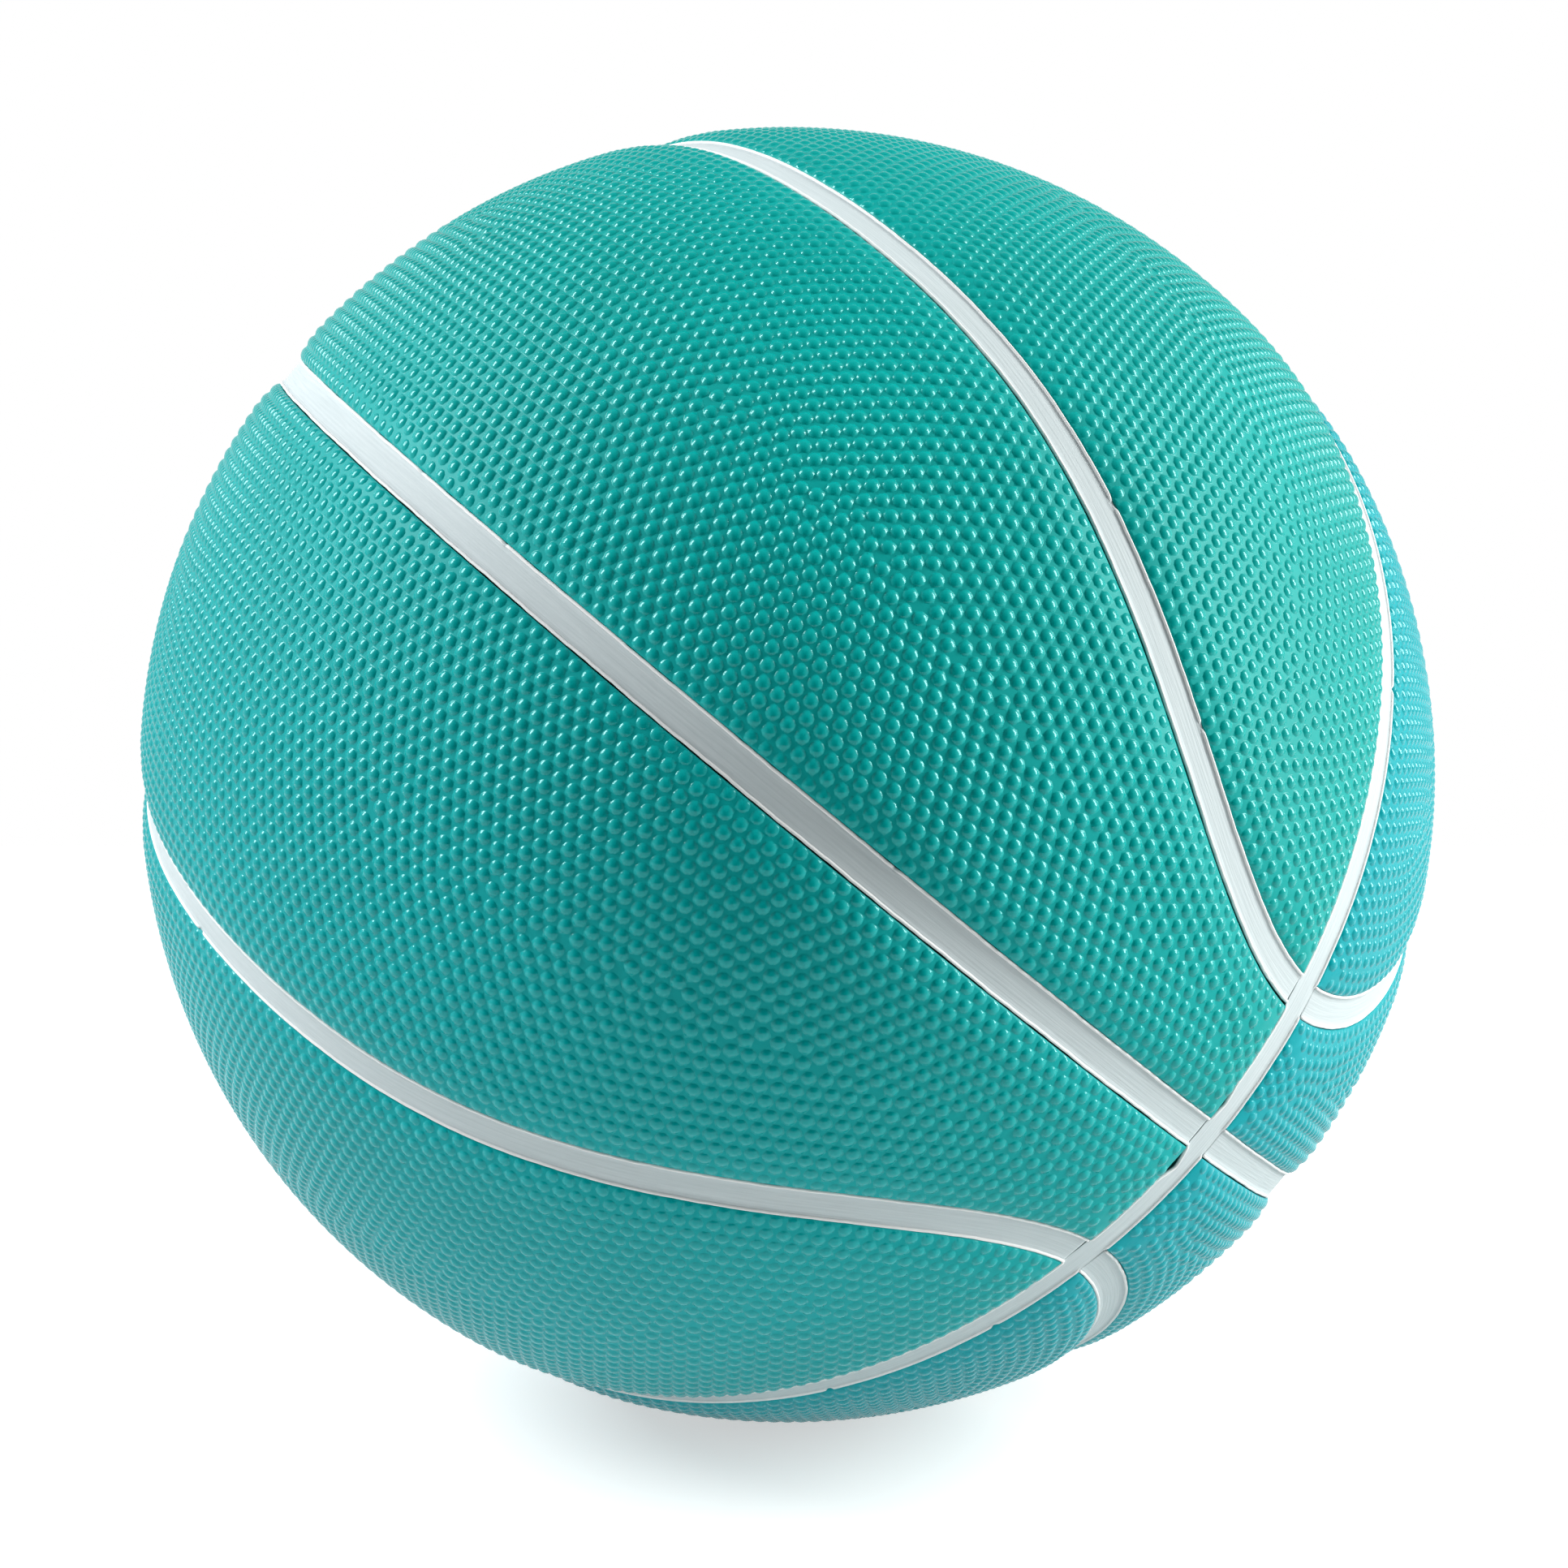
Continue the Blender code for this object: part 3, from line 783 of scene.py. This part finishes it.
def strip_shape(beside, turns, gaps, seed, stand=None, closed=False):
    """A strip lofted along a seam, with uneven lips and a gap to the panel on each side."""
    places = line_lengths(beside(turns, 0.0))
    stand = np.ones(len(turns)) if stand is None else stand
    across, depth, lip = strip_grid(places, gaps, seed, stand)
    directions = beside(turns[:, None], across / RIM_RADIUS)
    points = directions * (RIM_RADIUS - depth)[..., None]
    along = np.repeat(places, across.shape[1])
    shape = Shape()
    shape.add_points(points.reshape(-1, 3), lip=lip.ravel(), across=across.ravel(), along=along)
    rows, columns = across.shape
    shape.add_faces(*grid_faces(rows, columns, closed))
    if not closed:
        first = list(range(columns))
        last = list(range(rows * columns - 1, (rows - 1) * columns - 1, -1))
        low, high = MAP_STRIP_END_LEVELS
        for start, ring in zip(MAP_STRIP_END_STARTS, (first, last)):
            section = np.stack([across.ravel()[ring], depth.ravel()[ring]], axis=1)
            corners = fitted(section, (start, low), (start + MAP_STRIP_END_WIDTH, high))
            shape.add_faces([ring], [corners.tolist()])
    return shape


def strip_turns(beside, end_angle):
    """Longitudes along half a seam at an even step, stopping at an angle from the equator."""
    start = seam_start(beside, 0.0, end_angle)
    fine = np.linspace(start, pi - start, LINE_SAMPLES)
    lengths = line_lengths(beside(fine, 0.0))
    count = round(lengths[-1] / STRIP_STEP)
    return np.interp(np.linspace(0.0, lengths[-1], count + 1), lengths, fine)


def crossing_fade(turns):
    """How far the equator's lips stand at each turn: not at all where another channel runs into it."""
    tilt = float(loop_latitude(0.0))
    crossings = [side * (pi / 2 + lean) for side in (-1, 1) for lean in (-tilt, 0.0, tilt)]
    apart = np.abs((turns[:, None] - np.array(crossings) + pi) % (2 * pi) - pi).min(axis=1) * RIM_RADIUS
    return np.clip((apart - CHANNEL_WIDTH / 2 + LIP_WIDTH) / LIP_WIDTH, 0.0, 1.0)


def equator_gap(turns):
    """Gap beside the equator strip at each turn, wider where the strip has drawn back."""
    gap = np.full(len(turns), EQUATOR_OPEN_GAP)
    for place, length, width in DRAWN_BACK:
        apart = (turns - pi / 2) * RIM_RADIUS - place
        gap += width * np.clip(1 - np.abs(apart) / length, 0.0, 1.0)
    return gap


def turned_shape(profile, axis):
    """A closed profile of radius and height, from the top down its outside, turned about an axis."""
    profile = np.array(profile)
    first, second = tangents(axis[None])
    turns = np.arange(VALVE_STEPS) * 2 * pi / VALVE_STEPS
    out = np.cos(turns)[:, None] * first - np.sin(turns)[:, None] * second
    points = out[:, None] * profile[None, :, :1] + axis * profile[None, :, 1:]
    shape = Shape()
    shape.add_points(points.reshape(-1, 3))
    shape.add_faces(*grid_faces(VALVE_STEPS, len(profile), True))
    return shape


def rounded_edge(radius, height, size):
    """Points over the edge between a flat face and the side below it."""
    turns = np.linspace(0.0, pi / 2, VALVE_EDGE_POINTS)
    return [(radius - size * (1 - sin(turn)), height - size * (1 - cos(turn))) for turn in turns]


def valve_heights(node, axis):
    """Least and greatest height of a solid on the valve's axis."""
    outward = Vector(SEAM_TURN @ axis)
    heights = [outward.dot(vertex.co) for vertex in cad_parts[node].data.vertices]
    return min(heights), max(heights)


def housing_shape(axis):
    """Neck, flange and stem of the valve, with a stepped bore for its plug."""
    tip, face = valve_heights("valve_housing", axis)
    flange = tip + VALVE_FLANGE_WALL + VALVE_STEM_LENGTH
    collar = flange * cos(asin(VALVE_HOLE_RADIUS / flange))
    edge = asin(VALVE_FLANGE_RADIUS / BALL_RADIUS)
    flange_reach = flange * sin(edge)
    flange_top = flange * cos(edge)
    step = face - PLUG_HEAD_HEIGHT - CLEARANCE
    profile = rounded_edge(VALVE_NECK_RADIUS, face, VALVE_EDGE_ROUND)
    profile += [
        (VALVE_NECK_RADIUS, collar),
        (flange_reach, flange_top),
        (flange_reach, flange_top - VALVE_FLANGE_EDGE),
        (VALVE_STEM_RADIUS, collar - VALVE_FLANGE_WALL),
        (VALVE_STEM_TIP_RADIUS, tip),
        (PLUG_SHAFT_RADIUS + CLEARANCE, tip),
        (PLUG_SHAFT_RADIUS + CLEARANCE, step),
        (PLUG_HEAD_RADIUS + CLEARANCE, step),
        (PLUG_HEAD_RADIUS + CLEARANCE, face),
    ]
    return turned_shape(profile, axis)


def plug_shape(axis):
    """Headed plug with a dimple that leads a pump's needle into its hole."""
    tip, face = valve_heights("valve_plug", axis)
    neck = face - PLUG_HEAD_HEIGHT
    profile = [(PLUG_DIMPLE_RADIUS, face)]
    profile += rounded_edge(PLUG_HEAD_RADIUS, face, VALVE_EDGE_ROUND)
    profile += [
        (PLUG_HEAD_RADIUS, neck),
        (PLUG_SHAFT_RADIUS, neck),
        (PLUG_SHAFT_RADIUS, tip),
        (NEEDLE_HOLE_RADIUS, tip),
        (NEEDLE_HOLE_RADIUS, face - PLUG_DIMPLE_DEPTH),
    ]
    return turned_shape(profile, axis)


def new_material(name):
    material = bpy.data.materials.new(name)
    material.use_nodes = True
    return material, material.node_tree


def add_node(tree, kind, inputs=None, **settings):
    """A shader node with its settings, and with inputs given as values or as outputs to link."""
    node = tree.nodes.new(kind)
    for key, value in settings.items():
        setattr(node, key, value)
    for key, value in (inputs or {}).items():
        if isinstance(value, bpy.types.NodeSocket):
            tree.links.new(value, node.inputs[key])
        else:
            node.inputs[key].default_value = value
    return node


def mixed(tree, factor, first, second):
    """A colour between two others, each a colour or an output."""
    node = add_node(tree, "ShaderNodeMix", {"Factor": factor}, data_type="RGBA")
    for slot, value in ((6, first), (7, second)):
        if isinstance(value, bpy.types.NodeSocket):
            tree.links.new(value, node.inputs[slot])
        else:
            node.inputs[slot].default_value = (*value, 1.0)
    return node.outputs[2]


def ranged(tree, value, low, high, to_low=0.0, to_high=1.0):
    """A value carried from one range to another and held at its ends."""
    inputs = {"Value": value, "From Min": low, "From Max": high, "To Min": to_low, "To Max": to_high}
    return add_node(tree, "ShaderNodeMapRange", inputs).outputs["Result"]


def combined(tree, operation, first, second):
    return add_node(tree, "ShaderNodeMath", {0: first, 1: second}, operation=operation).outputs[0]


def noise(tree, place, scale, detail):
    inputs = {"Vector": place, "Scale": scale, "Detail": detail}
    return add_node(tree, "ShaderNodeTexNoise", inputs).outputs["Fac"]


def facing(tree, direction, side):
    """How far a direction points to a side."""
    inputs = {0: direction, 1: side}
    return add_node(tree, "ShaderNodeVectorMath", inputs, operation="DOT_PRODUCT").outputs["Value"]


def attribute(tree, name):
    return add_node(tree, "ShaderNodeAttribute", attribute_name=name).outputs["Fac"]


def bumped(tree, height, distance):
    """A normal from a height between 0 and 1 that stands for a distance."""
    inputs = {"Height": height, "Distance": distance}
    return add_node(tree, "ShaderNodeBump", inputs).outputs["Normal"]


def panel_material(name, greens, painted_blue_light):
    """Teal rubber with painted blue light, bluer low down on one side. The pebbles are rubbed shiny and the
    valleys are dull.
    """
    material, tree = new_material(name)
    shader = tree.nodes["Principled BSDF"]
    place = add_node(tree, "ShaderNodeTexCoord").outputs["Object"]
    # Painted blue light: bluer towards the lower left of the ball
    low = ranged(tree, facing(tree, place, PAINTED_BLUE_LIGHT_SIDE), *PAINTED_BLUE_LIGHT_FADE)
    cloud = ranged(tree, noise(tree, place, **PANEL_CLOUD), *NOISE_SPAN)
    grain = noise(tree, place, **PANEL_GRAIN)
    colour = mixed(tree, low, mixed(tree, cloud, *greens), mixed(tree, cloud, *painted_blue_light))
    tree.links.new(colour, shader.inputs["Base Color"])
    shine = ranged(tree, attribute(tree, "crest"), 0.0, SHINE_FULL)
    smooth = ranged(tree, shine, 0.0, 1.0, VALLEY_ROUGHNESS, PEBBLE_ROUGHNESS)
    rough = combined(tree, "ADD", smooth, ranged(tree, grain, *NOISE_SPAN, 0.0, PANEL_GRAIN_ROUGHNESS))
    tree.links.new(rough, shader.inputs["Roughness"])
    specular = ranged(tree, shine, 0.0, 1.0, VALLEY_SPECULAR, PEBBLE_SPECULAR)
    tree.links.new(specular, shader.inputs["Specular IOR Level"])
    shader.inputs["Specular Tint"].default_value = PANEL_SPECULAR_TINT
    tree.links.new(bumped(tree, grain, PANEL_GRAIN_HEIGHT), shader.inputs["Normal"])
    return material


def channel_material():
    """Streaky white paint; lips whiter, in part a painted highlight; sides near-black, a painted shade in the
    gaps.
    """
    material, tree = new_material("channel_paint")
    shader = tree.nodes["Principled BSDF"]
    lip = attribute(tree, "lip")
    across = combined(tree, "MULTIPLY", attribute(tree, "across"), STREAK_STRETCH)
    stretch = add_node(tree, "ShaderNodeCombineXYZ", {"X": across, "Y": attribute(tree, "along")})
    streak = noise(tree, stretch.outputs["Vector"], **STREAK)
    floor = mixed(tree, ranged(tree, streak, *NOISE_SPAN), *STRIP_FLOORS)
    # Lips whiter than the floor, in part a painted highlight along their round tops
    top = mixed(tree, lip, floor, STRIP_LIP_WHITE_AND_HIGHLIGHT)
    # Painted shade: near-black on each strip's outer side, down in the gap beside the panel
    side_shade = ranged(tree, lip, 0.0, STRIP_SIDE_SHADE_FROM)
    tree.links.new(mixed(tree, side_shade, top, STRIP_SIDE_PAINTED_SHADE), shader.inputs["Base Color"])
    tree.links.new(ranged(tree, streak, *NOISE_SPAN, *STRIP_ROUGHNESS), shader.inputs["Roughness"])
    shader.inputs["Specular IOR Level"].default_value = STRIP_SPECULAR
    tree.links.new(bumped(tree, streak, STREAK_HEIGHT), shader.inputs["Normal"])
    return material


def plain_rubber(name, shades, rough, grain_scale):
    """Rubber with a soft cloud of two shades and a fine grain."""
    material, tree = new_material(name)
    shader = tree.nodes["Principled BSDF"]
    place = add_node(tree, "ShaderNodeTexCoord").outputs["Object"]
    cloud = ranged(tree, noise(tree, place, **RUBBER_CLOUD), *NOISE_SPAN)
    grain = noise(tree, place, grain_scale, RUBBER_GRAIN_DETAIL)
    tree.links.new(mixed(tree, cloud, *shades), shader.inputs["Base Color"])
    least = rough - RUBBER_ROUGHNESS_SPREAD
    most = rough + RUBBER_ROUGHNESS_SPREAD
    tree.links.new(ranged(tree, grain, *NOISE_SPAN, least, most), shader.inputs["Roughness"])
    tree.links.new(bumped(tree, grain, RUBBER_GRAIN_HEIGHT), shader.inputs["Normal"])
    return material


def winding_material():
    """Pale thread wound round the bladder in crossing turns."""
    material, tree = new_material("winding_thread")
    shader = tree.nodes["Principled BSDF"]
    place = add_node(tree, "ShaderNodeTexCoord").outputs["Object"]
    threads = None
    for turn in THREAD_TURNS:
        turned = add_node(tree, "ShaderNodeMapping", {"Vector": place, "Rotation": turn})
        inputs = {
            "Vector": turned.outputs["Vector"],
            "Scale": THREAD_SCALE,
            "Distortion": THREAD_DISTORTION,
        }
        wave = add_node(tree, "ShaderNodeTexWave", inputs).outputs["Fac"]
        if threads is None:
            threads = wave
        else:
            threads = combined(tree, "MAXIMUM", threads, wave)
    tree.links.new(mixed(tree, threads, *THREAD_SHADES), shader.inputs["Base Color"])
    tree.links.new(bumped(tree, threads, THREAD_HEIGHT), shader.inputs["Normal"])
    shader.inputs["Roughness"].default_value = THREAD_ROUGHNESS
    return material


def add_camera():
    """A camera a few degrees above the ball, shifted to put the ball where the picture has it."""
    data = bpy.data.cameras.new("camera")
    data.sensor_width = SENSOR_WIDTH
    data.lens = FOCAL_PIXELS / PICTURE_SIZE * SENSOR_WIDTH
    data.shift_x = (PICTURE_SIZE / 2 - BALL_PIXEL[0]) / PICTURE_SIZE
    data.shift_y = (BALL_PIXEL[1] - PICTURE_SIZE / 2) / PICTURE_SIZE
    camera = bpy.data.objects.new("camera", data)
    elevation = radians(VIEW_ELEVATION)
    camera.location = Vector((0.0, -cos(elevation), sin(elevation))) * VIEW_DISTANCE
    camera.rotation_euler = (pi / 2 - elevation, 0.0, 0.0)
    bpy.context.scene.collection.objects.link(camera)
    bpy.context.scene.camera = camera


def add_lamp(name, direction, height, power, colour):
    """A soft box that faces the ball."""
    data = bpy.data.lights.new(name, "AREA")
    data.shape = "RECTANGLE"
    data.size = LAMP_WIDTH
    data.size_y = height
    data.energy = power
    data.color = colour
    lamp = bpy.data.objects.new(name, data)
    direction = Vector(direction).normalized()
    lamp.location = direction * LAMP_DISTANCE
    lamp.rotation_euler = direction.to_track_quat("Z", "Y").to_euler()
    bpy.context.scene.collection.objects.link(lamp)


def world_side(tree, direction, side, level):
    """Light of a soft wall on one side, strongest in its middle."""
    towards = facing(tree, direction, side)
    inputs = {"Value": towards, "From Min": WALL_EDGE, "From Max": 1.0, "To Max": level}
    wall = add_node(tree, "ShaderNodeMapRange", inputs, interpolation_type="SMOOTHSTEP")
    return wall.outputs["Result"]


def add_world():
    """Soft white walls and a ceiling. The camera sees white, and reflections a white backdrop behind."""
    world = bpy.data.worlds.new("studio")
    world.use_nodes = True
    bpy.context.scene.world = world
    tree = world.node_tree
    background = tree.nodes["Background"]
    direction = add_node(tree, "ShaderNodeTexCoord").outputs["Generated"]
    left = world_side(tree, direction, (-1.0, 0.0, 0.0), WALL_LEFT)
    right = world_side(tree, direction, (1.0, 0.0, 0.0), WALL_RIGHT)
    ceiling = world_side(tree, direction, (0.0, 0.0, 1.0), CEILING)
    walls = combined(tree, "ADD", combined(tree, "ADD", left, right), ceiling)
    path = add_node(tree, "ShaderNodeLightPath").outputs
    behind = world_side(tree, direction, (0.0, 1.0, 0.0), BACKDROP)
    behind = combined(tree, "MULTIPLY", behind, path["Is Glossy Ray"])
    walls = combined(tree, "MAXIMUM", walls, behind)
    seen = combined(tree, "MAXIMUM", path["Is Camera Ray"], path["Is Transmission Ray"])
    level = add_node(tree, "ShaderNodeMix", {0: seen, 2: walls, 3: 1.0}, data_type="FLOAT")
    tree.links.new(level.outputs[0], background.inputs["Strength"])
    background.inputs["Color"].default_value = WHITE


def floor_material():
    """Pale matt grey that takes the ball's shadow, and looks white to the camera and in reflections."""
    material, tree = new_material("floor_white")
    tree.nodes.clear()
    diffuse = add_node(tree, "ShaderNodeBsdfDiffuse", {"Color": FLOOR_COLOUR})
    path = add_node(tree, "ShaderNodeLightPath").outputs
    seen = combined(tree, "MAXIMUM", path["Is Camera Ray"], path["Is Transmission Ray"])
    seen = combined(tree, "MAXIMUM", seen, path["Is Glossy Ray"])
    glow = combined(tree, "MULTIPLY", seen, FLOOR_GLOW)
    white = add_node(tree, "ShaderNodeEmission", {"Color": WHITE, "Strength": glow})
    both = add_node(tree, "ShaderNodeAddShader", {0: diffuse.outputs[0], 1: white.outputs[0]})
    add_node(tree, "ShaderNodeOutputMaterial", {"Surface": both.outputs[0]})
    return material


def add_floor():
    mesh = bpy.data.meshes.new("floor")
    corners = [
        (-FLOOR_HALF, FLOOR_FRONT, 0.0),
        (FLOOR_HALF, FLOOR_FRONT, 0.0),
        (FLOOR_HALF, FLOOR_HALF, 0.0),
        (-FLOOR_HALF, FLOOR_HALF, 0.0),
    ]
    mesh.from_pydata(corners, [], [(0, 1, 2, 3)])
    mesh.materials.append(floor_material())
    floor = bpy.data.objects.new("floor", mesh)
    floor.location = (0.0, 0.0, -BALL_RADIUS)
    bpy.context.scene.collection.objects.link(floor)


def panel_shapes():
    """A middle panel, the middle panel that has the valve's hole, and a side panel."""
    pebbles = relaxed(all_rows("middle"))
    middle = panel_shape("middle", pebbles, False)
    middle_with_hole = panel_shape("middle", pebbles, True)
    side = panel_shape("side", relaxed(all_rows("side")), False)
    return middle, middle_with_hole, side


def loop_strips(end_angle):
    """Strips of the one loop with an open gap and of the others, up to an angle from the equator."""
    turns = strip_turns(beside_loop, end_angle)
    open_loop = strip_shape(beside_loop, turns, (LOOP_OPEN_GAP, STRIP_SHUT_GAP), OPEN_LOOP_SEED)
    loop = strip_shape(beside_loop, turns, (LOOP_GAP, STRIP_SHUT_GAP), LOOP_SEED)
    return open_loop, loop


def meridian_strip(end_angle):
    turns = strip_turns(beside_meridian, end_angle)
    return strip_shape(beside_meridian, turns, (STRIP_SHUT_GAP, MERIDIAN_OPEN_GAP), MERIDIAN_SEED)


def equator_strip():
    steps = round(2 * pi * RIM_RADIUS / STRIP_STEP)
    turns = np.linspace(0.0, 2 * pi, steps, endpoint=False)
    gaps = (STRIP_SHUT_GAP, equator_gap(turns))
    return strip_shape(beside_equator, turns, gaps, EQUATOR_SEED, crossing_fade(turns), closed=True)


def add_panel(node, shape, signs, rubber):
    name = node + "_pebbled"
    add_piece(name, mesh_from(name, shape, signs), rubber, node)


def add_strip(node, shape, signs, paint):
    name = node + "_painted"
    add_piece(name, mesh_from(name, shape, signs), paint, node)


def add_cover():
    """Panels and strips, mirrored from the shapes of one quarter of the cover."""
    # The rear copy of the rubber is painted bluer, as blue light on that half
    rubbers = {
        "front": panel_material("front_rubber", FRONT_GREENS, FRONT_PAINTED_BLUE_LIGHT),
        "rear": panel_material("rear_rubber_painted_bluer", REAR_GREENS_PAINTED_BLUER, REAR_PAINTED_BLUE_LIGHT),
    }
    paint = channel_material()
    middle, middle_with_hole, side = panel_shapes()
    end_angle = RIM_ANGLE - (STRIP_SHUT_GAP - STRIP_END_GAP) / RIM_RADIUS
    open_loop, loop = loop_strips(end_angle)
    meridian = meridian_strip(end_angle)
    for half, pole_side in (("front", 1.0), ("rear", -1.0)):
        for place, loop_side in (("lower", 1.0), ("upper", -1.0)):
            quarter = f"{half}_{place}"
            signs = (1.0, pole_side, loop_side)
            middle_shape = middle_with_hole if quarter == "rear_upper" else middle
            loop_shape = open_loop if quarter == "front_upper" else loop
            add_panel(f"middle_panel_{quarter}", middle_shape, signs, rubbers[half])
            add_panel(f"side_panel_{quarter}", side, signs, rubbers[half])
            add_strip(f"loop_channel_{quarter}", loop_shape, signs, paint)
        add_strip(f"meridian_channel_{half}", meridian, (1.0, pole_side, 1.0), paint)
    add_strip("equator_channel", equator_strip(), UNMIRRORED, paint)


def add_valve():
    rubber = plain_rubber("valve_rubber", VALVE_SHADES, rough=0.48, grain_scale=2500.0)
    axis = on_sphere(radians(-VALVE_LONGITUDE), radians(-VALVE_LATITUDE))
    for node, shape in (("valve_housing", housing_shape(axis)), ("valve_plug", plug_shape(axis))):
        name = node + "_turned"
        mesh = mesh_from(name, shape, UNMIRRORED)
        mesh.set_sharp_from_angle(angle=radians(VALVE_SHARP_ANGLE))
        add_piece(name, mesh, rubber, node)


def paint_layers():
    """Looks of the layers under the cover."""
    carcass = plain_rubber("carcass_rubber", CARCASS_SHADES, rough=0.78, grain_scale=900.0)
    bladder = plain_rubber("bladder_rubber", BLADDER_SHADES, rough=0.52, grain_scale=1200.0)
    looks = {
        "carcass_valve_half": carcass,
        "carcass_far_half": carcass,
        "thread_winding": winding_material(),
        "bladder": bladder,
    }
    for node, material in looks.items():
        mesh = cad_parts[node].data
        mesh.materials.clear()
        mesh.materials.append(material)


bpy.context.scene.view_settings.view_transform = "Standard"
add_camera()
add_world()
add_lamp("right_softbox", **RIGHT_LAMP)
add_lamp("left_softbox", **LEFT_LAMP)
add_floor()
add_cover()
add_valve()
paint_layers()
